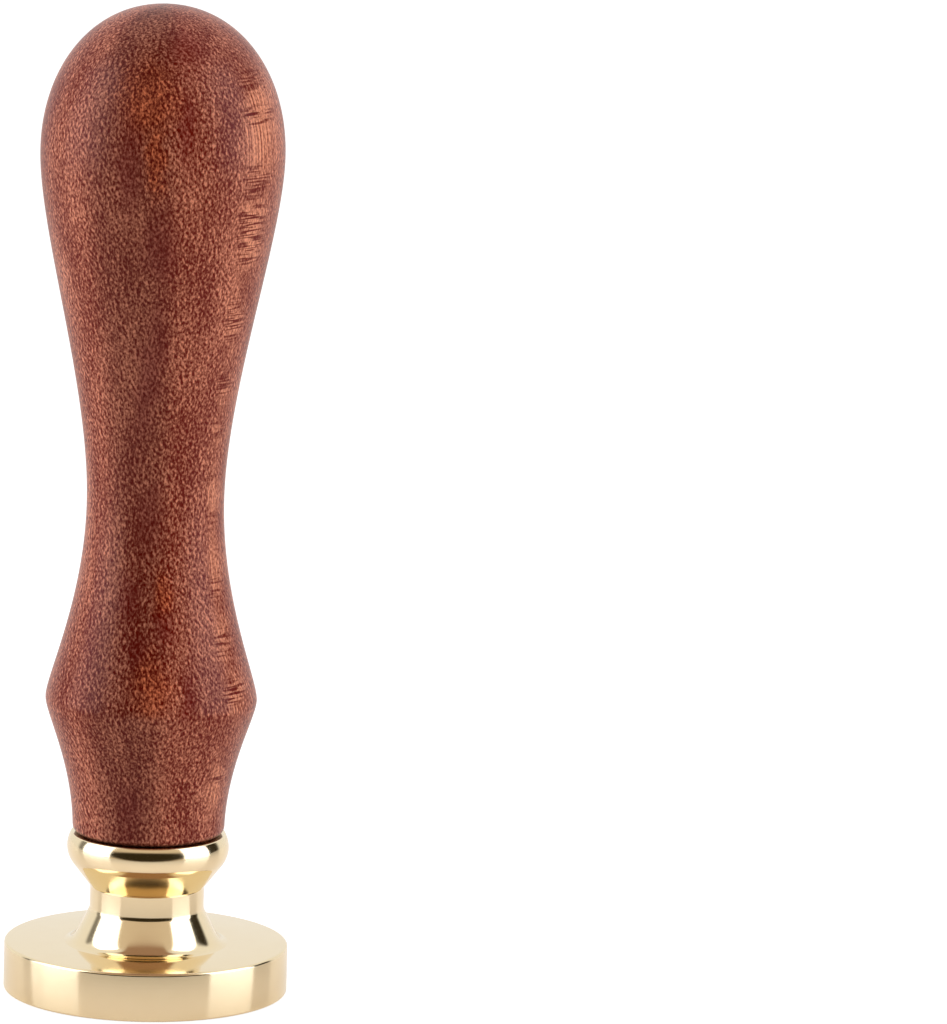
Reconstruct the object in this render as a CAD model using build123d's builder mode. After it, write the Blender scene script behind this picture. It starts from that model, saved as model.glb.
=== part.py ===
from build123d import *
from math import radians, tan
import os

os.makedirs("parts", exist_ok=True)

# Wax seal stamp, in millimetres: +Z up the turning axis, origin at the centre of the engraved face

# Brass head: disc
face_diameter = 25.0
disc_height = 4.27
disc_edge_break = 0.25
face_edge_break = 0.2

# Brass head: neck and bead, with heights above the face
flare_foot_diameter = 14.46
flare_foot_slope = 14.0
flare_foot_fullness = 0.375
flare_neck_lean = 27.2
flare_neck_fullness = 0.898
neck_diameter = 10.05
neck_bottom_height = 7.3
neck_top_height = 9.33
bead_underside_diameter = 13.14
bead_underside_height = 11.33
bead_diameter = 14.25
bead_height = 12.9
seat_diameter = 13.58
head_height = 14.1

# Engraving in the face: a rosette of petals with a dot between each two, inside a border line
engraving_depth = 0.7
engraving_draft = 10.0
border_diameter = 21.4
border_width = 0.6
petal_count = 6
petal_root = 1.7
petal_tip = 8.9
petal_width = 2.5
dot_diameter = 1.5
dot_ring_diameter = 14.6
centre_dot_diameter = 1.8

# Threaded stud: machine thread below the handle's foot, grooved shank inside the handle
thread_diameter = 7.0
thread_pitch = 1.0
thread_length = 6.5
thread_tip_chamfer = 0.7
thread_relief = 0.5
shank_diameter = 6.0
shank_length = 22.0
shank_end_chamfer = 0.5
grip_groove_count = 5
grip_groove_width = 1.2
grip_groove_depth = 0.4
grip_groove_pitch = 3.4

# Metric thread form: half the angle between flanks, then depth, crest flat and sink into the core in pitches
thread_flank_angle = 30.0
thread_depth_share = 0.5413
thread_crest_share = 0.125
thread_sink_share = 0.1

# Wooden handle, each length measured up from the station below it
foot_diameter = 13.35
foot_edge_round = 0.45
foot_to_ridge = 12.1
ridge_diameter = 18.55
ridge_to_waist = 17.6
waist_diameter = 12.0
waist_to_bulb = 30.6
bulb_diameter = 21.25
bulb_to_crown = 12.9

# Fullness of the handle's outline: how far a curve holds its end's direction, as a share of its stretch
crown_top_fullness = 0.6
crown_side_fullness = 0.56
bulb_fullness = 0.23
waist_upper_fullness = 0.33
waist_lower_fullness = 0.5
ridge_upper_fullness = 0.1
ridge_lower_fullness = 0.125
foot_fullness = 0.5

# Fits between the pieces
thread_clearance = 0.06
thread_end_room = 1.2
bore_lead_in = 0.45
drill_point_rise = 1.6
glue_gap = 0.06

# Radii and heights of the seal head
face_radius = face_diameter / 2
flare_foot_radius = flare_foot_diameter / 2
neck_radius = neck_diameter / 2
flare_foot_hold = flare_foot_fullness * (flare_foot_radius - neck_radius)
flare_neck_hold = flare_neck_fullness * (neck_bottom_height - disc_height)
bead_underside_radius = bead_underside_diameter / 2
bead_radius = bead_diameter / 2
seat_radius = seat_diameter / 2
border_radius = border_diameter / 2
border_half_width = border_width / 2
border_floor_half_width = border_half_width - engraving_depth * tan(radians(engraving_draft))

# Radii and heights of the stud, and of the two bores that take it
thread_radius = thread_diameter / 2
thread_root_radius = thread_radius - thread_depth_share * thread_pitch
thread_tip_height = head_height - thread_length
bore_radius = thread_radius + thread_clearance
bore_floor_height = thread_tip_height - thread_end_room
shank_radius = shank_diameter / 2
shank_top_height = head_height + shank_length
socket_radius = shank_radius + glue_gap
socket_top_height = shank_top_height + glue_gap

# Radii and heights of the handle's stations
foot_radius = foot_diameter / 2
ridge_radius = ridge_diameter / 2
waist_radius = waist_diameter / 2
bulb_radius = bulb_diameter / 2
ridge_height = head_height + foot_to_ridge
waist_height = ridge_height + ridge_to_waist
bulb_height = waist_height + waist_to_bulb
crown_height = bulb_height + bulb_to_crown

# One petal of the rosette, two arcs that meet in points
with BuildSketch(Plane.XY) as petal:
    with BuildLine():
        SagittaArc((petal_root, 0), (petal_tip, 0), -petal_width / 2)
        SagittaArc((petal_tip, 0), (petal_root, 0), -petal_width / 2)
    make_face()

# Seal head: turned disc, neck and bead
with BuildPart() as seal_head:
    with BuildSketch(Plane.XZ):
        with BuildLine():
            disc = Polyline(
                (0, 0),
                (face_radius - face_edge_break, 0),
                (face_radius, face_edge_break),
                (face_radius, disc_height - disc_edge_break),
                (face_radius - disc_edge_break, disc_height),
                (flare_foot_radius, disc_height),
            )
            flare = Bezier(
                disc @ 1,
                (
                    flare_foot_radius - flare_foot_hold,
                    disc_height + flare_foot_hold * tan(radians(flare_foot_slope)),
                ),
                (
                    neck_radius + flare_neck_hold * tan(radians(flare_neck_lean)),
                    neck_bottom_height - flare_neck_hold,
                ),
                (neck_radius, neck_bottom_height),
            )
            neck = Line(flare @ 1, (neck_radius, neck_top_height))
            throat = Line(neck @ 1, (bead_underside_radius, bead_underside_height))
            bead = ThreePointArc(throat @ 1, (bead_radius, bead_height), (seat_radius, head_height))
            Polyline(bead @ 1, (0, head_height), (0, 0))
        make_face()
    revolve(axis=Axis.Z)
    # Bore for the stud, with a lead-in at its mouth and a drill point at its floor
    with BuildSketch(Plane.XZ):
        with BuildLine():
            Polyline(
                (0, head_height),
                (bore_radius + bore_lead_in, head_height),
                (bore_radius, head_height - bore_lead_in),
                (bore_radius, bore_floor_height),
                (0, bore_floor_height - drill_point_rise),
                close=True,
            )
        make_face()
    revolve(axis=Axis.Z, mode=Mode.SUBTRACT)
    # Border line of the engraving, narrowing towards its floor
    with BuildSketch(Plane.XZ):
        with BuildLine():
            Polyline(
                (border_radius - border_half_width, 0),
                (border_radius + border_half_width, 0),
                (border_radius + border_floor_half_width, engraving_depth),
                (border_radius - border_floor_half_width, engraving_depth),
                close=True,
            )
        make_face()
    revolve(axis=Axis.Z, mode=Mode.SUBTRACT)
    # Rosette: petals round a centre dot, with a small dot in each gap between petals
    with BuildSketch(Plane.XY):
        Circle(centre_dot_diameter / 2)
        with PolarLocations(dot_ring_diameter / 2, petal_count, start_angle=180 / petal_count):
            Circle(dot_diameter / 2)
        with PolarLocations(0, petal_count):
            add(petal.sketch)
    extrude(amount=engraving_depth, taper=engraving_draft, mode=Mode.SUBTRACT)

# Tooth of the thread: a sharp triangle, sunk into the core, whose point is cut back to the crest later
flank_slope = tan(radians(thread_flank_angle))
tooth_point_radius = thread_radius + thread_crest_share * thread_pitch / 2 / flank_slope
tooth_base_radius = thread_root_radius - thread_sink_share * thread_pitch
tooth_half_width = (tooth_point_radius - tooth_base_radius) * flank_slope
thread_start_height = thread_tip_height - thread_pitch
thread_end_height = head_height - thread_relief - tooth_half_width

# Threaded stud: a helical thread on its free end, then the grooved shank
with BuildPart() as threaded_stud:
    with Locations((0, 0, thread_tip_height)):
        Cylinder(thread_root_radius, thread_length, align=(Align.CENTER, Align.CENTER, Align.MIN))
    with BuildLine() as thread_path:
        Helix(
            thread_pitch,
            thread_end_height - thread_start_height,
            thread_radius,
            center=(0, 0, thread_start_height),
        )
    with BuildSketch(Plane.XZ):
        with BuildLine():
            Polyline(
                (tooth_point_radius, thread_start_height),
                (tooth_base_radius, thread_start_height + tooth_half_width),
                (tooth_base_radius, thread_start_height - tooth_half_width),
                close=True,
            )
        make_face()
    sweep(path=thread_path.line, is_frenet=True)
    # Crests turned to the thread's diameter, and the tip chamfered
    with BuildSketch(Plane.XZ):
        with BuildLine():
            Polyline(
                (0, thread_tip_height),
                (thread_radius - thread_tip_chamfer, thread_tip_height),
                (thread_radius, thread_tip_height + thread_tip_chamfer),
                (thread_radius, head_height),
                (0, head_height),
                close=True,
            )
        make_face()
    revolve(axis=Axis.Z, mode=Mode.INTERSECT)
    with Locations((0, 0, head_height)):
        Cylinder(shank_radius, shank_length, align=(Align.CENTER, Align.CENTER, Align.MIN))
    chamfer(threaded_stud.faces().sort_by(Axis.Z)[-1].edges(), shank_end_chamfer)
    # Grip grooves for the glue, from the shank's top downwards
    groove_heights = [shank_top_height - (n + 1) * grip_groove_pitch for n in range(grip_groove_count)]
    with BuildSketch(Plane.XZ):
        with Locations([(shank_radius, height) for height in groove_heights]):
            Rectangle(2 * grip_groove_depth, grip_groove_width)
    revolve(axis=Axis.Z, mode=Mode.SUBTRACT)

# Wooden handle: one turned outline from crown to foot, upright at every station
with BuildPart() as handle:
    with BuildSketch(Plane.XZ):
        with BuildLine():
            crown = Bezier(
                (0, crown_height),
                (crown_top_fullness * bulb_radius, crown_height),
                (bulb_radius, bulb_height + crown_side_fullness * bulb_to_crown),
                (bulb_radius, bulb_height),
            )
            grip = Bezier(
                crown @ 1,
                (bulb_radius, bulb_height - bulb_fullness * waist_to_bulb),
                (waist_radius, waist_height + waist_upper_fullness * waist_to_bulb),
                (waist_radius, waist_height),
            )
            swell = Bezier(
                grip @ 1,
                (waist_radius, waist_height - waist_lower_fullness * ridge_to_waist),
                (ridge_radius, ridge_height + ridge_upper_fullness * ridge_to_waist),
                (ridge_radius, ridge_height),
            )
            skirt = Bezier(
                swell @ 1,
                (ridge_radius, ridge_height - ridge_lower_fullness * foot_to_ridge),
                (foot_radius, head_height + foot_fullness * foot_to_ridge),
                (foot_radius, head_height),
            )
            Polyline(skirt @ 1, (0, head_height), (0, crown_height))
        make_face()
    revolve(axis=Axis.Z)
    fillet(handle.edges().group_by(Axis.Z)[0], foot_edge_round)
    # Blind socket for the stud's shank
    with BuildSketch(Plane.XY.offset(head_height)):
        Circle(socket_radius)
    extrude(amount=socket_top_height - head_height, mode=Mode.SUBTRACT)

seal_head.part.label = "seal_head"
threaded_stud.part.label = "threaded_stud"
handle.part.label = "handle"
export_step(seal_head.part, "parts/seal_head.step")
export_step(threaded_stud.part, "parts/threaded_stud.step")
export_step(handle.part, "parts/handle.step")
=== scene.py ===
# %% [markdown]
# # A turned wax seal stamp
#
# This lesson dresses a wax seal stamp: a wooden handle, a brass head with an engraved face, and the steel
# stud that joins them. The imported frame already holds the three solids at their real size, and it is
# loaded first, because every mesh here is made to stand exactly where one of those solids stands.

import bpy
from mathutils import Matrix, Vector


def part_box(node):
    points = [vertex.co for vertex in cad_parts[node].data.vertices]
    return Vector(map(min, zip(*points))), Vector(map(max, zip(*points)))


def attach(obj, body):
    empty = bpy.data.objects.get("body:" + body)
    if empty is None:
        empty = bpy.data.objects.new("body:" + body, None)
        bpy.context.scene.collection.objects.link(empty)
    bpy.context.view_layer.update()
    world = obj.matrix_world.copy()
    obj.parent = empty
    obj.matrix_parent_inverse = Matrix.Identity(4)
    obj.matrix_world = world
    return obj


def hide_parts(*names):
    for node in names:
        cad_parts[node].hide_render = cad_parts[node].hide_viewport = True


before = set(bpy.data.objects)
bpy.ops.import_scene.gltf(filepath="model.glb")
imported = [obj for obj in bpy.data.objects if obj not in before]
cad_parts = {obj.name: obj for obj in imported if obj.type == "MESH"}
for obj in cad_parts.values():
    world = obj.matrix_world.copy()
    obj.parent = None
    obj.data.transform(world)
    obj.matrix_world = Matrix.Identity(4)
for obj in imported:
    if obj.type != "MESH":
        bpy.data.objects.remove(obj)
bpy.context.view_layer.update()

# %% [markdown]
# ## Working units
#
# Blender counts in metres and a lathe worker counts in millimetres. All sizes below are millimetres, and
# one factor turns them into metres when a mesh is made. The heights that two pieces share are read from
# the frame, so that the pieces meet where the solids meet.

# %% Shared heights and radii, read from the frame
from math import atan2, cos, dist, hypot, pi, radians, sin, sqrt, tan

import bmesh
import bpy
from mathutils import Matrix, Vector
from mathutils.geometry import interpolate_bezier

MM = 0.001

head_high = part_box("seal_head")[1]
handle_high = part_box("handle")[1]
stud_low, stud_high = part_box("threaded_stud")

face_radius = head_high.x / MM
seat_height = head_high.z / MM
bulb_radius = handle_high.x / MM
crown_height = handle_high.z / MM
thread_radius = stud_high.x / MM
stud_tip_height = stud_low.z / MM
stud_top_height = stud_high.z / MM
print("Seat at", round(seat_height, 2), "mm, crown at", round(crown_height, 2), "mm")

# %% [markdown]
# ## Outlines
#
# Everything on this stamp was made on a lathe, so each piece starts as half an outline, a line of
# (radius, height) pairs. Such a line could be drawn by hand as many points, but a turner thinks in long
# curves and arcs. Two helpers therefore sample them: one for a cubic curve, which Blender can evaluate
# itself, and one for an arc through three points.


# %% Curves and arcs as lines of points
def curve(start, pull_start, pull_end, end, steps=40):
    """Samples a cubic curve that leaves its start, and reaches its end, along the two pulls."""
    knots = [Vector((*point, 0)) for point in (start, pull_start, pull_end, end)]
    return [(point.x, point.y) for point in interpolate_bezier(*knots, steps)]


def arc(start, middle, end, steps=24):
    """Samples the arc that runs from start to end through middle."""
    (ax, az), (bx, bz), (cx, cz) = start, middle, end
    twice_area = 2 * (ax * (bz - cz) + bx * (cz - az) + cx * (az - bz))
    a, b, c = (x * x + z * z for x, z in (start, middle, end))
    centre_x = (a * (bz - cz) + b * (cz - az) + c * (az - bz)) / twice_area
    centre_z = (a * (cx - bx) + b * (ax - cx) + c * (bx - ax)) / twice_area
    radius = hypot(ax - centre_x, az - centre_z)
    first = atan2(az - centre_z, ax - centre_x)
    turn = atan2(cz - centre_z, cx - centre_x) - first
    turn -= 2 * pi * round(turn / (2 * pi))
    angles = [first + turn * n / steps for n in range(steps + 1)]
    return [(centre_x + radius * cos(angle), centre_z + radius * sin(angle)) for angle in angles]


print("A quarter arc of radius 1 ends at", arc((1, 0), (sqrt(0.5), sqrt(0.5)), (0, 1))[-1])

# %% [markdown]
# No lathe leaves a corner perfectly sharp, and a mirror-bright metal shows that at once: the small round
# at each corner catches a thin bright or dark line. A Bevel modifier could add it, but it would also
# touch every facet of the round surface. Easing the corners of the outline, before it is spun, costs a
# few points and stays exact.


# %% Corners that are eased, not sharp
def between(start, end, share):
    """The point that lies that share of the way from start to end."""
    return tuple(a + (b - a) * share for a, b in zip(start, end))


def shortened(points, reach):
    """The same line of points, with a stretch of that length taken off its end."""
    points = list(points)
    while dist(points[-1], points[-2]) <= reach:
        reach -= dist(points[-1], points[-2])
        points.pop()
    points[-1] = between(points[-1], points[-2], reach / dist(points[-1], points[-2]))
    return points


def eased(outline, reach, stretch, steps=6):
    """Carries an outline on along the next stretch, and eases the corner between them over that reach."""
    corner = outline[-1]
    before = shortened(outline, reach)
    after = shortened(stretch[::-1], reach)[::-1]
    hold = 0.55
    pulls = between(before[-1], corner, hold), between(after[0], corner, hold)
    return before + curve(before[-1], *pulls, after[0], steps)[1:-1] + after


def eased_chain(stretches, reaches):
    """Joins stretches end to end, each corner eased over its own reach."""
    outline = list(stretches[0])
    for stretch, reach in zip(stretches[1:], reaches):
        outline = eased(outline, reach, stretch)
    return outline


square_corner = eased_chain([[(0, 0), (1, 0)], [(1, 0), (1, 1)]], [0.2])
print("A square corner eased over 0.2 takes", len(square_corner), "points")

# %% [markdown]
# ## From outline to solid
#
# A Screw modifier would spin an outline too. Blender's spin operator does the same once and for all, and
# leaves a plain mesh that can be cut afterwards, which the engraved face needs. Points on the axis meet
# in one pole. Faces are smooth, and only corners steeper than a set angle stay crisp.

# %% The lathe
CRISP_ANGLE = radians(35)
POLE_REACH = 1e-7


def finished(mesh):
    """Shades a mesh smooth, apart from its crisp corners."""
    mesh.shade_smooth()
    mesh.set_sharp_from_angle(angle=CRISP_ANGLE)
    return mesh


def turned(name, outline, steps):
    """Spins an outline in millimetres round the upright axis, and returns the closed piece."""
    work = bmesh.new()
    verts = [work.verts.new((radius * MM, 0, height * MM)) for radius, height in outline]
    edges = [work.edges.new(pair) for pair in zip(verts, verts[1:])]
    bmesh.ops.spin(work, geom=verts + edges, axis=(0, 0, 1), angle=2 * pi, steps=steps, use_merge=True)
    bmesh.ops.remove_doubles(work, verts=work.verts, dist=POLE_REACH)
    bmesh.ops.recalc_face_normals(work, faces=work.faces)
    mesh = bpy.data.meshes.new(name)
    work.to_mesh(mesh)
    work.free()
    piece = bpy.data.objects.new(name, finished(mesh))
    bpy.context.scene.collection.objects.link(piece)
    return piece


print("The lathe is ready: corners over", round(CRISP_ANGLE * 180 / pi), "degrees stay crisp")

# %% [markdown]
# ## The wooden handle
#
# The handle is one stick of hardwood, turned to a round bulb for the palm, a slim waist for the fingers,
# and a ridge that stops the fingers from sliding down. It could be pushed and pulled out of a cylinder
# with subdivision, but its outline is really four long curves that stand upright where they meet, so four
# cubic curves give it exactly. Below them come the broken edge of the foot, the flat foot and the blind
# socket that the stud is glued into.

# %% Handle: sizes of the outline
foot_radius = 6.675
foot_round = 0.7
ridge_radius, ridge_height = 9.275, 26.2
waist_radius, waist_height = 6.0, 43.8
bulb_height = 74.4
socket_radius = 3.06
socket_clearance = 0.06
socket_mouth_ease, socket_floor_ease = 0.15, 0.05
handle_steps = 192

# How far each curve keeps its ends' directions: a share of its rise, or at the top of the bulb's radius
crown_top_hold, crown_side_hold = 0.6, 0.56
bulb_hold, waist_upper_hold = 0.23, 0.33
waist_lower_hold, ridge_upper_hold = 0.5, 0.1
ridge_lower_hold, foot_hold = 0.125, 0.5
print("Ridge, waist and bulb at", ridge_height, waist_height, bulb_height, "mm")

# %% Handle: the turned mesh
crown_rise = crown_height - bulb_height
grip_rise = bulb_height - waist_height
swell_rise = waist_height - ridge_height
skirt_rise = ridge_height - seat_height
socket_top = stud_top_height + socket_clearance

crown_curve = curve(
    (0, crown_height),
    (crown_top_hold * bulb_radius, crown_height),
    (bulb_radius, bulb_height + crown_side_hold * crown_rise),
    (bulb_radius, bulb_height),
)
grip_curve = curve(
    (bulb_radius, bulb_height),
    (bulb_radius, bulb_height - bulb_hold * grip_rise),
    (waist_radius, waist_height + waist_upper_hold * grip_rise),
    (waist_radius, waist_height),
)
swell_curve = curve(
    (waist_radius, waist_height),
    (waist_radius, waist_height - waist_lower_hold * swell_rise),
    (ridge_radius, ridge_height + ridge_upper_hold * swell_rise),
    (ridge_radius, ridge_height),
)
skirt_curve = curve(
    (ridge_radius, ridge_height),
    (ridge_radius, ridge_height - ridge_lower_hold * skirt_rise),
    (foot_radius, seat_height + foot_hold * skirt_rise),
    (foot_radius, seat_height),
)
foot_line = [(foot_radius, seat_height), (socket_radius, seat_height)]
socket_wall = [(socket_radius, seat_height), (socket_radius, socket_top)]
socket_floor = [(socket_radius, socket_top), (0, socket_top)]

handle_outline = crown_curve + grip_curve[1:] + swell_curve[1:] + skirt_curve[1:]
handle_outline = eased(handle_outline, foot_round, foot_line)
handle_outline = eased(handle_outline, socket_mouth_ease, socket_wall)
handle_outline = eased(handle_outline, socket_floor_ease, socket_floor)
handle = turned("turned_handle", handle_outline, handle_steps)
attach(handle, "handle")
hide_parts("handle")
handle_box = [round(side / MM, 2) for side in handle.dimensions]
print("Handle:", len(handle.data.vertices), "points, box", handle_box)

# %% [markdown]
# ## The brass head
#
# The head is turned from one bar of brass: a thick disc with the engraved face, a flare that narrows to a
# short neck, a throat that widens again, and a bead that the handle sits on. The flare and the throat are
# almost plain cones, so the creases above and below the neck stay visible. The underside has a border
# line, which a lathe cuts too, so it is part of the outline. Inside is the bore for the stud, with its
# lead-in and the cone that a drill leaves.

# %% Brass head: sizes of the outline
disc_height = 4.27
flare_foot_radius, flare_foot_hold = 7.23, 0.827
flare_foot_rise = tan(radians(14))
flare_neck_hold = 2.72
flare_lean = tan(radians(27.2))
neck_radius, neck_low, neck_high = 5.025, 7.3, 9.33
bead_low_radius, bead_low_height = 6.57, 11.33
bead_radius, bead_height = 7.125, 12.9
seat_radius = 6.79
bore_radius, bore_floor = 3.56, 6.4
bore_lead_in = 0.45
drill_point = 1.6
engraving_depth = 0.7
engraving_draft = tan(radians(10))
border_inner, border_outer = 10.4, 11.0
head_steps = 224

# Reach of the eased corners: those of cuts and bores, then those of the outside, from the face upwards
cut_ease = 0.05
face_edge_ease, disc_edge_ease = 0.2, 0.25
flare_foot_ease = 0.06
neck_low_ease, neck_high_ease = 0.22, 0.15
bead_ease = 0.1
print("Neck from", neck_low, "to", neck_high, "mm, bead at", bead_height, "mm")

# %% Brass head: the turned mesh
border_slope = engraving_depth * engraving_draft
face_line = [(0, 0), (border_inner, 0)]
border_walls = [
    [(border_inner, 0), (border_inner + border_slope, engraving_depth)],
    [(border_inner + border_slope, engraving_depth), (border_outer - border_slope, engraving_depth)],
    [(border_outer - border_slope, engraving_depth), (border_outer, 0)],
]
rim_line = [(border_outer, 0), (face_radius, 0)]
disc_wall = [(face_radius, 0), (face_radius, disc_height)]
disc_top = [(face_radius, disc_height), (flare_foot_radius, disc_height)]
flare = curve(
    (flare_foot_radius, disc_height),
    (flare_foot_radius - flare_foot_hold, disc_height + flare_foot_hold * flare_foot_rise),
    (neck_radius + flare_neck_hold * flare_lean, neck_low - flare_neck_hold),
    (neck_radius, neck_low),
)
neck = [(neck_radius, neck_low), (neck_radius, neck_high)]
throat = [(neck_radius, neck_high), (bead_low_radius, bead_low_height)]
bead = arc((bead_low_radius, bead_low_height), (bead_radius, bead_height), (seat_radius, seat_height))
seat = [(seat_radius, seat_height), (bore_radius + bore_lead_in, seat_height)]
lead_in = [(bore_radius + bore_lead_in, seat_height), (bore_radius, seat_height - bore_lead_in)]
bore_wall = [(bore_radius, seat_height - bore_lead_in), (bore_radius, bore_floor)]
bore_cone = [(bore_radius, bore_floor), (0, bore_floor - drill_point)]

head_stretches = [
    face_line, *border_walls, rim_line, disc_wall, disc_top, flare, neck, throat, bead, seat, lead_in,
    bore_wall, bore_cone,
]
head_eases = (
    [cut_ease] * 4
    + [face_edge_ease, disc_edge_ease, flare_foot_ease, neck_low_ease, neck_high_ease]
    + [bead_ease] * 2
    + [cut_ease] * 3
)
head_outline = eased_chain(head_stretches, head_eases)
head = turned("seal_head_brass", head_outline, head_steps)
print("Brass head:", len(head.data.vertices), "points before engraving")

# %% [markdown]
# ## The engraved rosette
#
# A real face is cut by a small tapering cutter, so every recess is a little narrower at its floor.
# Displacement could fake that, but the face is what presses the wax, so it gets true recesses: cutters
# shaped like the finished hollows, taken away from the head with one Boolean. Each cutter is a stack of
# rings, one outline at several depths, and at the face the outline flares out a little so that the lip of
# the recess isn't knife sharp.

# %% Rosette: outlines at any depth
petal_count = 6
petal_root, petal_tip = 1.7, 8.9
petal_width = 2.5
dot_radius, dot_ring = 0.75, 7.3
centre_dot_radius = 0.9
lip_break = 0.04
above_face = 0.2


def petal_ring(inset, steps=28):
    """A pointed petal along X, two arcs, drawn in by the inset all round."""
    half_length = (petal_tip - petal_root) / 2
    rise = petal_width / 2
    arc_radius = (half_length ** 2 + rise ** 2) / (2 * rise)
    centre_offset = arc_radius - rise
    radius = arc_radius - inset
    half_turn = atan2(sqrt(radius ** 2 - centre_offset ** 2), centre_offset)
    middle = (petal_root + petal_tip) / 2
    angles = [half_turn * (1 - 2 * n / steps) for n in range(steps)]
    upper = [(middle + radius * sin(a), radius * cos(a) - centre_offset) for a in angles]
    lower = [(2 * middle - x, -y) for x, y in upper]
    return upper + lower


def dot_round(size, centre, inset, steps=36):
    """A round dot, drawn in by the inset."""
    angles = [-2 * pi * n / steps for n in range(steps)]
    return [(centre + (size - inset) * cos(a), (size - inset) * sin(a)) for a in angles]


dot_points = dot_round(dot_radius, dot_ring, 0)
print("A petal has", len(petal_ring(0)), "points round it, and a dot", len(dot_points))


# %% Rosette: the cutters, and the cut
def cutter(work, ring_at, turn):
    """Adds one recess to the cutters: its outline at four depths, closed below and above."""
    depths = [
        (-above_face, -lip_break),
        (0, -lip_break),
        (lip_break, lip_break * engraving_draft),
        (engraving_depth, engraving_depth * engraving_draft),
    ]
    spin = Matrix.Rotation(turn, 3, "Z")
    rings = []
    for depth, inset in depths:
        places = [spin @ Vector((x, y, depth)) * MM for x, y in ring_at(inset)]
        rings.append([work.verts.new(place) for place in places])
    for lower, upper in zip(rings, rings[1:]):
        for n in range(len(lower)):
            work.faces.new((lower[n - 1], lower[n], upper[n], upper[n - 1]))
    work.faces.new(rings[0][::-1])
    work.faces.new(rings[-1])


cutters = bmesh.new()
for n in range(petal_count):
    petal_turn = 2 * pi * n / petal_count
    cutter(cutters, petal_ring, petal_turn)
    cutter(cutters, lambda inset: dot_round(dot_radius, dot_ring, inset), petal_turn + pi / petal_count)
cutter(cutters, lambda inset: dot_round(centre_dot_radius, 0, inset), 0)
bmesh.ops.recalc_face_normals(cutters, faces=cutters.faces)
cutter_mesh = bpy.data.meshes.new("rosette_cutters")
cutters.to_mesh(cutter_mesh)
cutters.free()
rosette = bpy.data.objects.new("rosette_cutters", cutter_mesh)
bpy.context.scene.collection.objects.link(rosette)

engrave = head.modifiers.new("engraved rosette", "BOOLEAN")
engrave.operation = "DIFFERENCE"
engrave.solver = "EXACT"
engrave.object = rosette
engraved_mesh = bpy.data.meshes.new_from_object(head.evaluated_get(bpy.context.evaluated_depsgraph_get()))
head.modifiers.clear()
head.data = finished(engraved_mesh)
bpy.data.objects.remove(rosette)
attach(head, "seal_head")
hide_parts("seal_head")
print("Brass head:", len(head.data.vertices), "points after engraving")

# %% [markdown]
# ## The threaded stud
#
# The stud shows when the handle is unscrewed. Its thread is a true helix: at every height the radius
# depends on the angle. Sweeping a tooth along a spiral curve leaves open ends, so here the whole stud is
# one skin of rings. A ring in the thread looks up its radius from the thread's form, and a ring elsewhere
# is simply round.

# %% Stud: sizes
thread_pitch = 1.0
thread_depth = 0.5413
thread_crest = 0.125
tip_chamfer = 0.7
thread_relief = 0.5
shank_radius = 3.0
shank_chamfer = 0.5
groove_count, groove_pitch = 5, 3.4
groove_width, groove_depth = 1.2, 0.4
flank_slope = tan(radians(30))
root_radius = thread_radius - thread_depth
relief_height = seat_height - thread_relief
run_out = 0.6
stud_steps = 120
thread_rows = 150
print("Thread:", thread_pitch, "mm pitch, root radius", round(root_radius, 3), "mm")


# %% Stud: the skin of rings
def thread_at(height, angle):
    """Radius of the right-hand thread at a height and an angle."""
    along = (height - stud_tip_height) / thread_pitch - angle / (2 * pi)
    from_crest = abs(along - round(along)) * thread_pitch
    tooth = thread_radius - max(0, from_crest - thread_crest / 2) / flank_slope
    fade = min(1, max(0, (relief_height - height) / run_out))
    radius = root_radius + max(0, tooth - root_radius) * fade
    return min(radius, thread_radius - tip_chamfer + height - stud_tip_height)


angles = [2 * pi * n / stud_steps for n in range(stud_steps)]
thread_heights = [
    stud_tip_height + (relief_height - stud_tip_height) * n / thread_rows for n in range(thread_rows + 1)
]
stud_rings = [([thread_at(height, angle) for angle in angles], height) for height in thread_heights]

shank_line = [(root_radius, relief_height), (root_radius, seat_height), (shank_radius, seat_height)]
for n in reversed(range(groove_count)):
    groove_middle = stud_top_height - (n + 1) * groove_pitch
    groove_low, groove_high = groove_middle - groove_width / 2, groove_middle + groove_width / 2
    shank_line += [
        (shank_radius, groove_low),
        (shank_radius - groove_depth, groove_low),
        (shank_radius - groove_depth, groove_high),
        (shank_radius, groove_high),
    ]
shank_line += [
    (shank_radius, stud_top_height - shank_chamfer),
    (shank_radius - shank_chamfer, stud_top_height),
]
stud_rings += [([radius] * stud_steps, height) for radius, height in shank_line[1:]]

skin = bmesh.new()
rings = [
    [skin.verts.new((r * cos(a) * MM, r * sin(a) * MM, height * MM)) for r, a in zip(radii, angles)]
    for radii, height in stud_rings
]
for lower, upper in zip(rings, rings[1:]):
    for n in range(stud_steps):
        skin.faces.new((lower[n - 1], lower[n], upper[n], upper[n - 1]))
skin.faces.new(rings[0][::-1])
skin.faces.new(rings[-1])
bmesh.ops.recalc_face_normals(skin, faces=skin.faces)
stud_mesh = bpy.data.meshes.new("threaded_stud_steel")
skin.to_mesh(stud_mesh)
skin.free()
stud = bpy.data.objects.new("threaded_stud_steel", finished(stud_mesh))
bpy.context.scene.collection.objects.link(stud)
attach(stud, "stud")
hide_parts("threaded_stud")
stud_box = [round(side / MM, 2) for side in stud.dimensions]
print("Stud:", len(stud.data.vertices), "points, box", stud_box)

# %% [markdown]
# ## Building node trees
#
# Every finish is a small tree of nodes. Writing out each node takes four or five lines, so a few helpers
# keep the recipes short. The first adds any node: a socket given as an input is linked, and a plain value
# is typed into it. The others use it for arithmetic, noise, ranges and mixed colours, and two more start
# an effect or a material.


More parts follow.
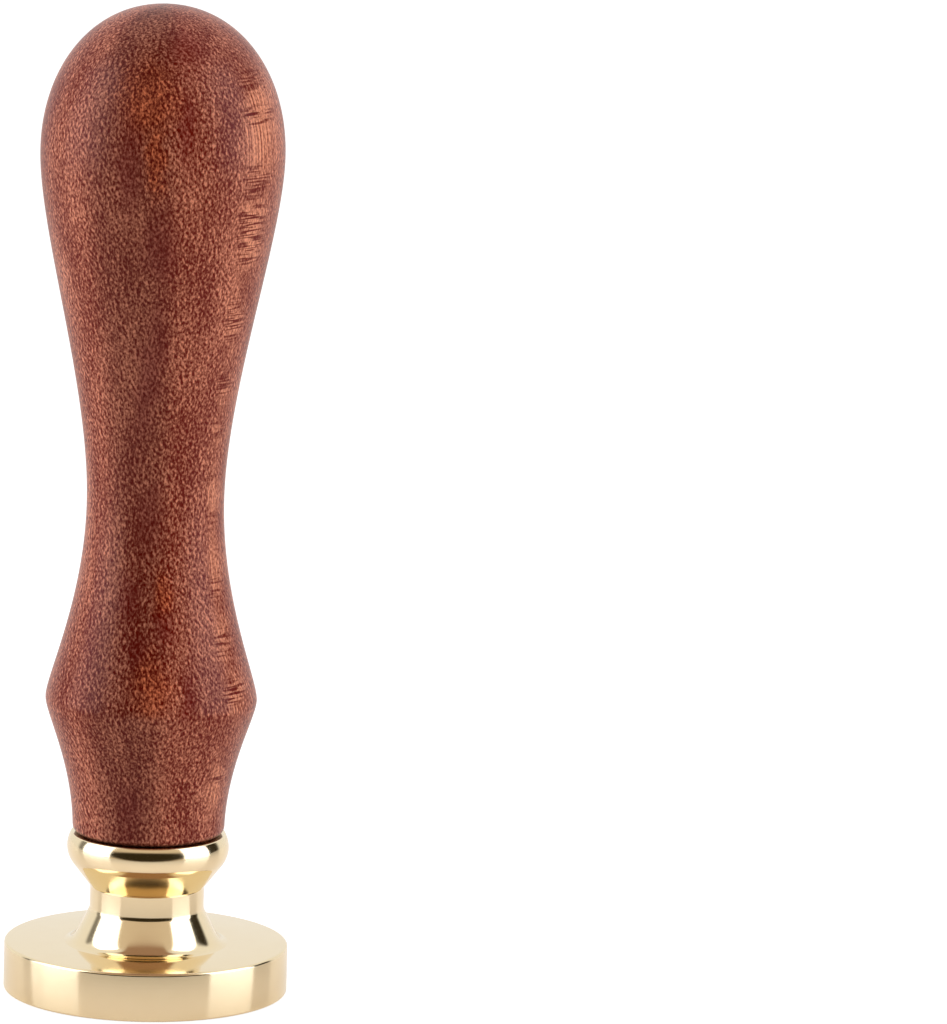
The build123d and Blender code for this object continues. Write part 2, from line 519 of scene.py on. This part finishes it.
# %% Helpers for node trees
def add(tree, kind, inputs=None, **settings):
    """Adds a node, with its settings and its inputs."""
    made = tree.nodes.new(kind)
    for name, value in settings.items():
        setattr(made, name, value)
    for name, value in (inputs or {}).items():
        if isinstance(value, bpy.types.NodeSocket):
            tree.links.new(value, made.inputs[name])
        else:
            made.inputs[name].default_value = value
    return made


def maths(tree, operation, *values, clamp=False):
    """Arithmetic on sockets and numbers."""
    made = add(tree, "ShaderNodeMath", dict(enumerate(values)), operation=operation, use_clamp=clamp)
    return made.outputs[0]


def vectors(tree, operation, *values):
    """Arithmetic on vectors that gives a vector."""
    made = add(tree, "ShaderNodeVectorMath", dict(enumerate(values)), operation=operation)
    return made.outputs["Vector"]


def measured(tree, operation, *values):
    """Arithmetic on vectors that gives one number."""
    made = add(tree, "ShaderNodeVectorMath", dict(enumerate(values)), operation=operation)
    return made.outputs["Value"]


def scaled(tree, vector, factors):
    """A vector with each of its parts multiplied."""
    return vectors(tree, "MULTIPLY", vector, factors)


def in_millimetres(tree):
    """The point that is shaded, in the millimetres of its own piece."""
    return scaled(tree, add(tree, "ShaderNodeTexCoord").outputs["Object"], (1 / MM, 1 / MM, 1 / MM))


def noise(tree, vector, detail=2.0):
    """Noise between about 0 and 1, in a space whose unit is one blotch."""
    settings = {"Vector": vector, "Scale": 1.0, "Detail": detail}
    return add(tree, "ShaderNodeTexNoise", settings).outputs[0]


def noise_along(tree, distance, detail=2.0):
    """Noise along one distance only, for rings and lines."""
    settings = {"W": distance, "Scale": 1.0, "Detail": detail}
    return add(tree, "ShaderNodeTexNoise", settings, noise_dimensions="1D").outputs[0]


def spread(tree, value, low, high, to_low=0.0, to_high=1.0):
    """Stretches a value from one range to another, softly, and stops at the ends."""
    made = add(
        tree,
        "ShaderNodeMapRange",
        {"Value": value, "From Min": low, "From Max": high, "To Min": to_low, "To Max": to_high},
        interpolation_type="SMOOTHSTEP",
    )
    return made.outputs[0]


def mixed(tree, factor, first, second, blend="MIX"):
    """Mixes two colours."""
    made = add(tree, "ShaderNodeMix", {0: factor, 6: first, 7: second}, data_type="RGBA", blend_type=blend)
    return made.outputs[2]


def new_effect(name, inputs, outputs):
    """Starts a node group with named sockets, and returns it with its two end nodes."""
    group = bpy.data.node_groups.new(name, "ShaderNodeTree")
    for label, (kind, value) in inputs.items():
        group.interface.new_socket(label, in_out="INPUT", socket_type=kind).default_value = value
    for label, kind in outputs.items():
        group.interface.new_socket(label, in_out="OUTPUT", socket_type=kind)
    return group, group.nodes.new("NodeGroupInput"), group.nodes.new("NodeGroupOutput")


def new_material(name):
    """Starts a material, and returns it with its tree and its Principled shader."""
    material = bpy.data.materials.new(name)
    material.use_nodes = True
    return material, material.node_tree, material.node_tree.nodes["Principled BSDF"]


COLOUR, VALUE = "NodeSocketColor", "NodeSocketFloat"
print("Node helpers are ready")

# %% [markdown]
# ## Wood that runs right through
#
# The grain isn't a picture wrapped round the handle. The stick was once part of a trunk, with growth
# layers round its pith, rays that run out from the pith like thin ribbons, and pores along the trunk.
# Turning cuts that solid wood: where the surface cuts across the rays they are specks, and where it runs
# along them they are short level dashes. So the effect first measures, at each point, how far the pith
# is, in which direction, and how squarely the surface faces it. The pith stood in front of this stick and
# to its left.

# %% Effect: red hardwood grain, measured from the pith
pith_place = (-10.5, -36.5, 0)
ray_circle = 28.0
rays_crossed, rays_level = 0.45, 0.15
oiled_colours = {
    "Dark Wood": (0.14, 0.004, 0.0),
    "Light Wood": (0.77, 0.29, 0.178),
    "Island": (0.98, 0.27, 0.12),
    "Streak": (0.62, 0.5, 0.56),
    "Ray Side": (0.9, 0.36, 0.21),
}

grain_inputs = {label: (COLOUR, (*colour, 1)) for label, colour in oiled_colours.items()}
grain_inputs["Joint Shade"] = (VALUE, 1.0)
grain, grain_in, grain_out = new_effect(
    "red hardwood grain", grain_inputs, {"Colour": COLOUR, "Fleck": VALUE}
)
place = in_millimetres(grain)
height = add(grain, "ShaderNodeSeparateXYZ", {0: place}).outputs["Z"]
across_stick = scaled(grain, place, (1, 1, 0))
across_trunk = scaled(grain, vectors(grain, "SUBTRACT", place, pith_place), (1, 1, 0))
trunk_parts = add(grain, "ShaderNodeSeparateXYZ", {0: across_trunk})
stick_radius = measured(grain, "LENGTH", across_stick)
depth = measured(grain, "LENGTH", across_trunk)
bearing = maths(grain, "ARCTAN2", trunk_parts.outputs["X"], trunk_parts.outputs["Y"])
sideways = maths(grain, "MULTIPLY", bearing, ray_circle)
surface_way = vectors(grain, "NORMALIZE", across_stick)
ray_way = vectors(grain, "NORMALIZE", across_trunk)
facing_pith = maths(grain, "ABSOLUTE", measured(grain, "DOT_PRODUCT", ray_way, surface_way))
along_rays = spread(grain, facing_pith, rays_crossed, rays_level)
print("Pith", round(hypot(*pith_place), 1), "mm from the axis of the handle")

# %% [markdown]
# The flecks all over the wood are two noises. Plain noise, drawn out a little up the trunk, gives the
# specks. The pores are upright strokes, and a Gabor noise gives those: its ripples follow each other
# round the stick, so they stand upright on every side of it, and they fade out on the end grain of the
# crown, where pores are only dots. Where the surface runs along the rays there are level dashes as well,
# so their noise is long along the rays and short up the trunk. The growth layers show there as fine
# upright lines.

# %% Effect: specks, strokes, dashes and growth lines
waver_per_mm, waver_reach = (0.12, 0.12, 0.05), 4.0
specks_per_mm = (6.2, 6.2, 3.4)
strokes_per_mm = (1.25, 1.25, 2.8)
stroke_ripples, stroke_order = 1.5, 0.9
dashes_inwards, dashes_upwards = 0.4, 5.4
dash_dark, dash_clear, dash_strength = 0.36, 0.54, 0.95
growth_lines_per_mm = 4.5
blotches_per_mm = (0.35, 0.35, 0.07)

specks = noise(grain, scaled(grain, place, specks_per_mm), detail=1.0)
strokes = add(
    grain,
    "ShaderNodeTexGabor",
    {
        "Vector": scaled(grain, place, strokes_per_mm),
        "Scale": 1.0,
        "Frequency": stroke_ripples,
        "Anisotropy": stroke_order,
        5: vectors(grain, "CROSS_PRODUCT", surface_way, (0, 0, 1)),
    },
    gabor_type="3D",
).outputs["Value"]
dash_parts = {
    "X": maths(grain, "MULTIPLY", depth, dashes_inwards),
    "Y": sideways,
    "Z": maths(grain, "MULTIPLY", height, dashes_upwards),
}
dash_space = add(grain, "ShaderNodeCombineXYZ", dash_parts).outputs[0]
dash_noise = noise(grain, dash_space, detail=0.0)
dashes = spread(grain, dash_noise, dash_dark, dash_clear, -dash_strength, 0.0)
waver = noise(grain, scaled(grain, place, waver_per_mm))
layer = maths(grain, "MULTIPLY_ADD", waver, waver_reach, depth)
growth_lines = noise_along(grain, maths(grain, "MULTIPLY", layer, growth_lines_per_mm), detail=1.0)
blotches = noise(grain, scaled(grain, place, blotches_per_mm))
print("Grain effect so far:", len(grain.nodes), "nodes")

# %% [markdown]
# This stick also has its own figure: orange islands where the bulb and the ridge reach into an inner
# layer, dark streaks beside them, and down the right side pale patches where the rays lie in the surface,
# with their dashes in clusters. Noise would put those anywhere, so they are placed one by one, as upright
# lenses of wood. The edges of islands, streaks and patches are wavy because the place itself is pushed
# about by noise before the distance is taken.

# %% Effect: the figure of this stick
figure_depth = 9.0
figure_half_depth = 8.0
lens_edge, lens_core = 1.5, 0.3
push_per_mm = (0.45, 0.45, 0.45)
push_reach = (2.0, 0.0, 3.5)

# Each lens of wood: its middle across and up, half its width and height, and its tilt in degrees
orange_islands = [
    (-1.4, 80.0, 2.6, 3.0, 0),
    (0.0, 29.1, 1.9, 2.4, 0),
    (-0.6, 75.0, 0.9, 3.6, 0),
    (0.7, 36.6, 0.7, 2.4, 0),
]
ray_patches = [
    (8.2, 77.7, 2.1, 6.2, 0),
    (7.6, 68.5, 1.6, 4.6, 0),
    (6.2, 61.0, 1.4, 3.2, 0),
    (5.9, 54.6, 1.2, 2.2, 0),
    (5.1, 50.2, 1.2, 2.0, 0),
    (4.7, 45.0, 1.2, 3.4, 0),
    (5.1, 38.4, 1.2, 3.6, 0),
    (5.9, 33.0, 1.3, 2.8, 0),
    (7.3, 28.0, 1.3, 1.8, 0),
    (5.6, 19.0, 1.2, 2.4, 0),
]
dash_clusters = [
    (7.3, 82.2, 2.4, 1.6, 0),
    (7.9, 78.6, 2.4, 0.8, 0),
    (8.1, 72.9, 2.4, 1.5, 0),
    (7.6, 68.5, 2.0, 3.8, 0),
    (6.3, 60.4, 2.0, 2.4, 0),
    (5.6, 55.2, 2.0, 1.6, 0),
    (5.0, 51.0, 2.0, 1.3, 0),
    (4.6, 47.1, 2.0, 1.2, 0),
    (4.8, 42.6, 2.0, 1.6, 0),
    (5.4, 36.8, 2.0, 1.6, 0),
    (6.1, 32.0, 2.0, 1.5, 0),
    (7.3, 28.0, 2.0, 1.3, 0),
    (5.7, 20.1, 2.0, 0.7, 0),
]
dark_streaks = [
    (-2.9, 74.6, 1.2, 4.6, 0),
    (1.9, 84.2, 2.1, 2.0, 0),
    (2.0, 77.6, 0.9, 3.2, 0),
    (-0.1, 67.4, 1.7, 3.4, 0),
    (-0.8, 55.6, 1.2, 8.0, 7),
    (-0.6, 43.4, 1.3, 3.6, 0),
    (-2.1, 36.2, 0.8, 2.4, 0),
    (0.9, 33.8, 1.0, 1.7, 0),
    (-1.2, 31.6, 1.0, 1.5, 0),
    (3.2, 28.0, 0.5, 2.8, 0),
    (-1.7, 17.6, 1.3, 3.0, 0),
]
push_noise = {"Vector": scaled(grain, place, push_per_mm), "Scale": 1.0, "Detail": 2.0}
push = add(grain, "ShaderNodeTexNoise", push_noise).outputs["Color"]
push = vectors(grain, "SUBTRACT", push, (0.5, 0.5, 0.5))
pushed_place = vectors(grain, "MULTIPLY_ADD", push, push_reach, place)


def lenses(spots, point):
    """How far a point lies inside the nearest lens of wood, from 1 in its middle to 0 outside."""
    inside = 0.0
    for x, z, half_width, half_height, tilt in spots:
        settings = {
            "Vector": point,
            "Location": (x, -figure_depth, z),
            "Rotation": (0, radians(tilt), 0),
            "Scale": (half_width, figure_half_depth, half_height),
        }
        local = add(grain, "ShaderNodeMapping", settings, vector_type="TEXTURE").outputs[0]
        reach = measured(grain, "LENGTH", local)
        inside = maths(grain, "MAXIMUM", inside, spread(grain, reach, lens_edge, lens_core))
    return inside


island = lenses(orange_islands, pushed_place)
ray_patch = lenses(ray_patches, pushed_place)
streak = lenses(dark_streaks, pushed_place)
dash_zone = lenses(dash_clusters, place)
print("Figure:", len(orange_islands), "islands and", len(dark_streaks), "streaks")
print("Rays:", len(ray_patches), "patches with", len(dash_clusters), "clusters of dashes")

# %% [markdown]
# The flecks, the broad blotches and the rays add up to one tone, from dark wood to light wood. A power
# curve bends it, so that light flecks are small and bright in darker wood, as they are on the real
# handle.

# %% Effect: tone, from dark to light
middle_tone, middle_ray_tone = 0.45, 0.8
speck_gain, stroke_gain, blotch_gain = 2.3, 1.1, 0.75
ray_speck_gain, ray_line_gain = 1.2, 1.6
ray_calm = 0.2
end_grain_radius, side_grain_radius = 1.5, 6.0
tone_bend = 1.7


def swing(value, gain):
    """How far a noise lies from its middle, times a gain."""
    return maths(grain, "MULTIPLY_ADD", value, gain, -gain / 2)


def total(*values):
    """Adds up any number of values."""
    result = values[0]
    for value in values[1:]:
        result = maths(grain, "ADD", result, value)
    return result


ray_side = maths(grain, "MULTIPLY", along_rays, ray_patch)
calm = maths(grain, "MULTIPLY_ADD", along_rays, -ray_calm, 1.0)
side_grain = spread(grain, stick_radius, end_grain_radius, side_grain_radius)
upright_strokes = maths(grain, "MULTIPLY", swing(strokes, stroke_gain), side_grain)
flecks = maths(grain, "MULTIPLY", total(swing(specks, speck_gain), upright_strokes), calm)
speckled_tone = total(middle_tone, flecks, swing(blotches, blotch_gain))

dash_shift = maths(grain, "MULTIPLY", dashes, dash_zone)
line_zone = maths(grain, "SUBTRACT", 1.0, dash_zone)
line_shift = maths(grain, "MULTIPLY", swing(growth_lines, ray_line_gain), line_zone)
ray_tone = total(middle_ray_tone, dash_shift, line_shift, swing(specks, ray_speck_gain))

ray_change = maths(grain, "SUBTRACT", ray_tone, speckled_tone)
tone = maths(grain, "MULTIPLY_ADD", ray_change, ray_side, speckled_tone, clamp=True)
tone = maths(grain, "POWER", tone, tone_bend)
print("Grain effect with its tone:", len(grain.nodes), "nodes")

# %% [markdown]
# The dark end of the tone is the same everywhere, and the figure changes the light end only, so the
# flecks run on through islands and streaks. Wood that faces the pith squarely is darker: partly how such
# faces show the grain, and partly painted shade for the dim light on the front of the stick. Just above
# the brass a band of painted shade darkens the wood, where the joint falls into shadow.

# %% Effect: colours
painted_shade_start, painted_shade_left = 0.78, 0.68
joint_low, joint_high = seat_height + 0.1, seat_height + 0.5

light_end = mixed(grain, island, grain_in.outputs["Light Wood"], grain_in.outputs["Island"])
light_end = mixed(grain, streak, light_end, grain_in.outputs["Streak"], "MULTIPLY")
light_end = mixed(grain, ray_side, light_end, grain_in.outputs["Ray Side"])
wood_colour = mixed(grain, tone, grain_in.outputs["Dark Wood"], light_end)
# Partly the grain of flat-sawn faces, partly painted shade for the dimly lit front of the stick
flat_sawn_and_painted_shade = spread(grain, facing_pith, painted_shade_start, 1.0, 1.0, painted_shade_left)
# Painted shade in a band just above the brass, where the joint lies in shadow
painted_joint_shade = spread(grain, height, joint_low, joint_high, grain_in.outputs["Joint Shade"], 1.0)
wood_colour = scaled(grain, wood_colour, maths(grain, "MULTIPLY", flat_sawn_and_painted_shade, painted_joint_shade))

grain.links.new(wood_colour, grain_out.inputs["Colour"])
grain.links.new(specks, grain_out.inputs["Fleck"])
print("Grain effect:", len(grain.nodes), "nodes")

# %% [markdown]
# ## Lathe marks
#
# A turned surface keeps a trace of the tool: rings so fine that they only stretch the reflections a
# little. They could be modelled as grooves, but at about a thousandth of a millimetre deep a bump does it
# better. The effect reads how far along the outline a point is, from its radius and its height, and puts
# fine noise along that distance.

# %% Effect: lathe marks
marks, marks_in, marks_out = new_effect(
    "lathe marks",
    {"Lines per mm": (VALUE, 9.0), "Smears": (VALUE, 0.5)},
    {"Height": VALUE, "Film": VALUE},
)
height_share = 0.83
smears_per_mm = (0.5, 0.5, 0.8)
place = in_millimetres(marks)
radius = measured(marks, "LENGTH", scaled(marks, place, (1, 1, 0)))
height = add(marks, "ShaderNodeSeparateXYZ", {0: place}).outputs["Z"]
outline_way = maths(marks, "MULTIPLY_ADD", height, height_share, radius)
lines = noise_along(marks, maths(marks, "MULTIPLY", outline_way, marks_in.outputs["Lines per mm"]))
smears = noise(marks, scaled(marks, place, smears_per_mm), detail=3.0)
film = maths(marks, "MULTIPLY", smears, marks_in.outputs["Smears"])
marks.links.new(lines, marks_out.inputs["Height"])
marks.links.new(film, marks_out.inputs["Film"])
print("Lathe marks:", len(marks.nodes), "nodes")

# %% [markdown]
# ## Oiled wood and bare wood
#
# The outside of the handle is sanded, stained and oiled to a satin gloss. The foot and the socket were
# never finished, so they are paler and dull. Both use the same grain effect with their own colours, and
# the faces inside the foot's edge take the second one.


# %% Finish: wood
gloss_swing = 0.2


def grained_wood(name, colours, roughness, pore_depth, painted_joint_shade):
    """A wood finish from the grain effect: its colours, its gloss and how deep its pores feel."""
    material, tree, shader = new_material(name)
    effect = add(tree, "ShaderNodeGroup", node_tree=grain)
    for label, colour in colours.items():
        effect.inputs[label].default_value = (*colour, 1)
    # How much painted shade the joint with the brass gets: 1 leaves the wood as it is
    effect.inputs["Joint Shade"].default_value = painted_joint_shade
    gloss = maths(tree, "MULTIPLY_ADD", effect.outputs["Fleck"], gloss_swing, roughness - gloss_swing / 2)
    bump = add(
        tree,
        "ShaderNodeBump",
        {"Height": effect.outputs["Fleck"], "Strength": 1.0, "Distance": pore_depth * MM},
    )
    tree.links.new(effect.outputs["Colour"], shader.inputs["Base Color"])
    tree.links.new(gloss, shader.inputs["Roughness"])
    tree.links.new(bump.outputs["Normal"], shader.inputs["Normal"])
    shader.inputs["Specular IOR Level"].default_value = 0.14
    return material


oiled_wood = grained_wood(
    "oiled red hardwood", oiled_colours, roughness=0.31, pore_depth=0.02, painted_joint_shade=0.3
)
bare_wood = grained_wood(
    "bare red hardwood",
    {
        "Dark Wood": (0.22, 0.06, 0.035),
        "Light Wood": (0.52, 0.24, 0.16),
        "Island": (0.52, 0.2, 0.09),
        "Streak": (0.7, 0.62, 0.68),
        "Ray Side": (0.66, 0.34, 0.2),
    },
    roughness=0.75,
    pore_depth=0.04,
    painted_joint_shade=1.0,
)
handle.data.materials.append(oiled_wood)
handle.data.materials.append(bare_wood)
bare_faces = 0
for face in handle.data.polygons:
    inside_radius = hypot(face.center.x, face.center.y) / MM < foot_radius - foot_round
    if inside_radius and face.center.z / MM < socket_top + foot_round:
        face.material_index = 1
        bare_faces += 1
print("Bare wood on", bare_faces, "faces of", len(handle.data.polygons))

# %% [markdown]
# ## Polished brass and plated steel
#
# Polished metal has almost no colour of its own to show: what counts is a clean mirror with the metal's
# tint, fine lathe marks and a thin film from handling. The engraved recesses are cut, not polished, so
# they are a little rougher and browner. The zinc plate on the stud is a paler, duller metal with the same
# marks.


# %% Finish: metals
film_dulling = 0.12


def turned_metal(name, tint, film_tint, roughness, lines, mark_depth, smears):
    """A metal finish with lathe marks: its tint, the tint of its handling film, its gloss and its marks."""
    material, tree, shader = new_material(name)
    effect = add(tree, "ShaderNodeGroup", {"Lines per mm": lines, "Smears": smears}, node_tree=marks)
    colour = mixed(tree, effect.outputs["Film"], (*tint, 1), (*film_tint, 1))
    gloss = maths(tree, "MULTIPLY_ADD", effect.outputs["Film"], film_dulling, roughness)
    bump = add(
        tree,
        "ShaderNodeBump",
        {"Height": effect.outputs["Height"], "Strength": 1.0, "Distance": mark_depth * MM},
    )
    tree.links.new(colour, shader.inputs["Base Color"])
    tree.links.new(gloss, shader.inputs["Roughness"])
    tree.links.new(bump.outputs["Normal"], shader.inputs["Normal"])
    shader.inputs["Metallic"].default_value = 1.0
    return material


polished_brass = turned_metal(
    "polished brass", (0.92, 0.77, 0.51), (0.88, 0.71, 0.44),
    roughness=0.08, lines=6.0, mark_depth=0.0006, smears=0.6,
)
cut_brass = turned_metal(
    "cut brass", (0.80, 0.63, 0.34), (0.62, 0.45, 0.22),
    roughness=0.28, lines=9.0, mark_depth=0.002, smears=0.8,
)
zinc_plate = turned_metal(
    "zinc plate", (0.66, 0.66, 0.64), (0.58, 0.57, 0.5),
    roughness=0.26, lines=7.0, mark_depth=0.001, smears=0.8,
)
stud.data.materials.append(zinc_plate)
head.data.materials.clear()
head.data.materials.append(polished_brass)
head.data.materials.append(cut_brass)
cut_faces = 0
for face in head.data.polygons:
    radius_here = hypot(face.center.x, face.center.y) / MM
    in_recess = lip_break < face.center.z / MM < engraving_depth + lip_break and radius_here < border_outer
    in_bore = face.center.z / MM > engraving_depth + lip_break and radius_here < bore_radius + lip_break
    face.material_index = 1 if in_recess or in_bore else 0
    cut_faces += face.material_index
print("Cut brass on", cut_faces, "faces of", len(head.data.polygons))

# %% [markdown]
# ## The studio
#
# Polished metal is drawn by what stands round it, so the stamp stands in a white tent between two soft
# boxes. Lamps alone would leave the brass black between them. The boxes are tall, slightly cool area
# lamps that stand on the floor at the left and the right, and they give the metal its bright upright
# bands.

# %% Soft boxes
box_distance = 0.45
box_height = 0.55
box_colour = (0.92, 1.0, 1.14)
box_brightness = 2.0


def aimed(thing, azimuth, elevation, distance, target):
    """Stands a thing round the target, facing it. Azimuth 0 is the camera's side, 90 is the right."""
    a, e = radians(azimuth), radians(elevation)
    away = Vector((sin(a) * cos(e), -cos(a) * cos(e), sin(e)))
    thing.location = target + away * distance
    thing.rotation_euler = away.to_track_quat("Z", "Y").to_euler()


def soft_box(name, azimuth_from, azimuth_to):
    """A tall area lamp that stands on the floor and fills a range of azimuths."""
    lamp = bpy.data.lights.new(name, "AREA")
    lamp.shape = "RECTANGLE"
    lamp.size = 2 * box_distance * tan(radians(abs(azimuth_to - azimuth_from) / 2))
    lamp.size_y = box_height
    lamp.energy = box_brightness * pi * lamp.size * lamp.size_y
    lamp.color = box_colour
    holder = bpy.data.objects.new(name, lamp)
    holder.visible_camera = False
    bpy.context.scene.collection.objects.link(holder)
    aimed(holder, (azimuth_from + azimuth_to) / 2, 0, box_distance, Vector((0, 0, box_height / 2)))
    return lamp


left_box = soft_box("left soft box", -104, -55)
right_box = soft_box("right soft box", 53, 97)
print("Soft boxes:", round(left_box.size, 3), "and", round(right_box.size, 3), "m wide")

# %% [markdown]
# The floor is a glossy white board. To the camera it is simply white, with the soft shadow of the stamp,
# and a mirror in the metal sees a share of that white too. A board lit as a whole could do the same, but
# it would need far more light, and that light would wash out the stamp. The board ends a little in front
# of the stamp, and beyond it the metal mirrors the room. From below the board is clear, so the engraved
# face shows.

# %% Floor
floor_half = 4.0
floor_front = -0.12
floor_drop = 0.00005
mirrored_share = 0.2

floor_mesh = bpy.data.meshes.new("white_floor")
floor_corners = [
    (-floor_half, floor_front),
    (floor_half, floor_front),
    (floor_half, floor_half),
    (-floor_half, floor_half),
]
floor_mesh.from_pydata([(x, y, -floor_drop) for x, y in floor_corners], [], [(0, 1, 2, 3)])
floor = bpy.data.objects.new("white_floor", floor_mesh)
bpy.context.scene.collection.objects.link(floor)

floor_paint, floor_tree, floor_gloss = new_material("glossy white floor")
floor_gloss.inputs["Base Color"].default_value = (0.97, 0.9, 0.82, 1)
floor_gloss.inputs["Roughness"].default_value = 0.12
floor_gloss.inputs["Specular IOR Level"].default_value = 0.3
shown_shade = add(floor_tree, "ShaderNodeBsdfDiffuse", {"Color": (0.45, 0.45, 0.45, 1)})
shown_glow = add(floor_tree, "ShaderNodeEmission", {"Color": (1, 1, 1, 1), "Strength": 0.8})
shown = add(floor_tree, "ShaderNodeAddShader", {0: shown_shade.outputs[0], 1: shown_glow.outputs[0]})
ray = add(floor_tree, "ShaderNodeLightPath")
mirrored = maths(floor_tree, "MULTIPLY", ray.outputs["Is Glossy Ray"], mirrored_share)
shown_share = maths(floor_tree, "MAXIMUM", ray.outputs["Is Camera Ray"], mirrored)
floor_mix = add(
    floor_tree,
    "ShaderNodeMixShader",
    {0: shown_share, 1: floor_gloss.outputs[0], 2: shown.outputs[0]},
)
from_below = add(floor_tree, "ShaderNodeBsdfTransparent")
side = add(floor_tree, "ShaderNodeNewGeometry")
floor_end = add(
    floor_tree,
    "ShaderNodeMixShader",
    {0: side.outputs["Backfacing"], 1: floor_mix.outputs[0], 2: from_below.outputs[0]},
)
floor_tree.links.new(floor_end.outputs[0], floor_tree.nodes["Material Output"].inputs["Surface"])
floor_mesh.materials.append(floor_paint)
print("Floor:", 2 * floor_half, "m wide, from", floor_front, "m")

# %% [markdown]
# The tent is painted on the world: white behind, warmer in front. On the camera's side it has a wide dark
# opening, with a dim strip of ceiling above it, and there are dark gaps behind the two boxes. These give
# the brass its dark accents. Cloth and boards could be modelled instead, but a few ranges of the looking
# direction do the same and stay out of the way of other views. The camera itself sees plain white.

# %% The room
dark_side = (0.03, 0.022, 0.01, 1)
warm_tent = (0.69, 0.585, 0.475, 1)
dim_ceiling = (0.35, 0.22, 0.15, 1)
white_wall = (0.92, 0.92, 0.92, 1)
opening_middle = 0.19
opening_half_width, opening_half_height = 1.1, 0.38
opening_edge = (0.99, 0.68)
front_edge = (0.1, 0.0)
tent_turn = (-0.5, -0.2)
gap_lean = -0.045
gap_front, gap_back, gap_top = (0.0, 0.1), (0.54, 0.42), (0.55, 0.4)
gap_depths = (-0.5, 0.5, 0.78, 1.0)
ceiling_front, ceiling_side = (0.64, 0.74), (0.46, 0.4)

world = bpy.data.worlds.new("studio")
bpy.context.scene.world = world
world.use_nodes = True
room = world.node_tree
room.nodes.clear()
look = add(room, "ShaderNodeTexCoord").outputs["Generated"]
look_parts = add(room, "ShaderNodeSeparateXYZ", {0: look})
opening_place = add(
    room,
    "ShaderNodeMapping",
    {
        "Vector": look,
        "Location": (0, 0, opening_middle),
        "Scale": (opening_half_width, 1e3, opening_half_height),
    },
    vector_type="TEXTURE",
).outputs[0]
from_middle = measured(room, "LENGTH", opening_place)
in_front = spread(room, look_parts.outputs["Y"], *front_edge)
opening = maths(room, "MULTIPLY", spread(room, from_middle, *opening_edge), in_front)
behind_box = maths(room, "MULTIPLY_ADD", look_parts.outputs["X"], gap_lean, look_parts.outputs["Y"])
gap = maths(room, "MULTIPLY", spread(room, behind_box, *gap_front), spread(room, behind_box, *gap_back))
gap = maths(room, "MULTIPLY", gap, spread(room, look_parts.outputs["Z"], *gap_top))
gap = maths(room, "MULTIPLY", gap, spread(room, look_parts.outputs["X"], *gap_depths))
sideways_look = maths(room, "ABSOLUTE", look_parts.outputs["X"])
ceiling = maths(room, "MULTIPLY", spread(room, look_parts.outputs["Z"], *ceiling_front), in_front)
ceiling = maths(room, "MULTIPLY", ceiling, spread(room, sideways_look, *ceiling_side))
tent_colour = mixed(room, spread(room, look_parts.outputs["Y"], *tent_turn), warm_tent, white_wall)
tent_colour = mixed(room, ceiling, tent_colour, dim_ceiling)
room_colour = mixed(room, maths(room, "MAXIMUM", opening, gap), tent_colour, dark_side)
room_light = add(room, "ShaderNodeBackground", {"Color": room_colour, "Strength": 1.0})
seen_white = add(room, "ShaderNodeBackground", {"Color": (1, 1, 1, 1), "Strength": 1.0})
ray = add(room, "ShaderNodeLightPath")
room_mix = add(
    room,
    "ShaderNodeMixShader",
    {0: ray.outputs["Is Camera Ray"], 1: room_light.outputs[0], 2: seen_white.outputs[0]},
)
add(room, "ShaderNodeOutputWorld", {"Surface": room_mix.outputs[0]})
print("Room:", len(room.nodes), "nodes")

# %% [markdown]
# ## The camera
#
# The stamp is seen from a little above, through a long lens, standing at the left of the picture. The
# camera's place and turn were worked out from the ellipse of the disc's rim and from the axis of the
# stamp. No lens shift is needed.

# %% Camera
picture_height = 1024
focal_pixels = 7328.2
sensor_size = 36.0
camera_place = Vector((0, -0.630498, 0.158025))
camera_yaw, camera_pitch, camera_roll = radians(2.5267), radians(10.2987), radians(1.6931)

lens = bpy.data.cameras.new("long_lens")
lens.sensor_width = sensor_size
lens.lens = sensor_size * focal_pixels / picture_height
camera = bpy.data.objects.new("long_lens", lens)
bpy.context.scene.collection.objects.link(camera)
facing = (
    Matrix.Rotation(-camera_yaw, 4, "Z")
    @ Matrix.Rotation(pi / 2 - camera_pitch, 4, "X")
    @ Matrix.Rotation(camera_roll, 4, "Z")
)
camera.matrix_world = Matrix.Translation(camera_place) @ facing
bpy.context.scene.camera = camera
bpy.context.scene.view_settings.view_transform = "Standard"
print("Lens:", round(lens.lens, 2), "mm")
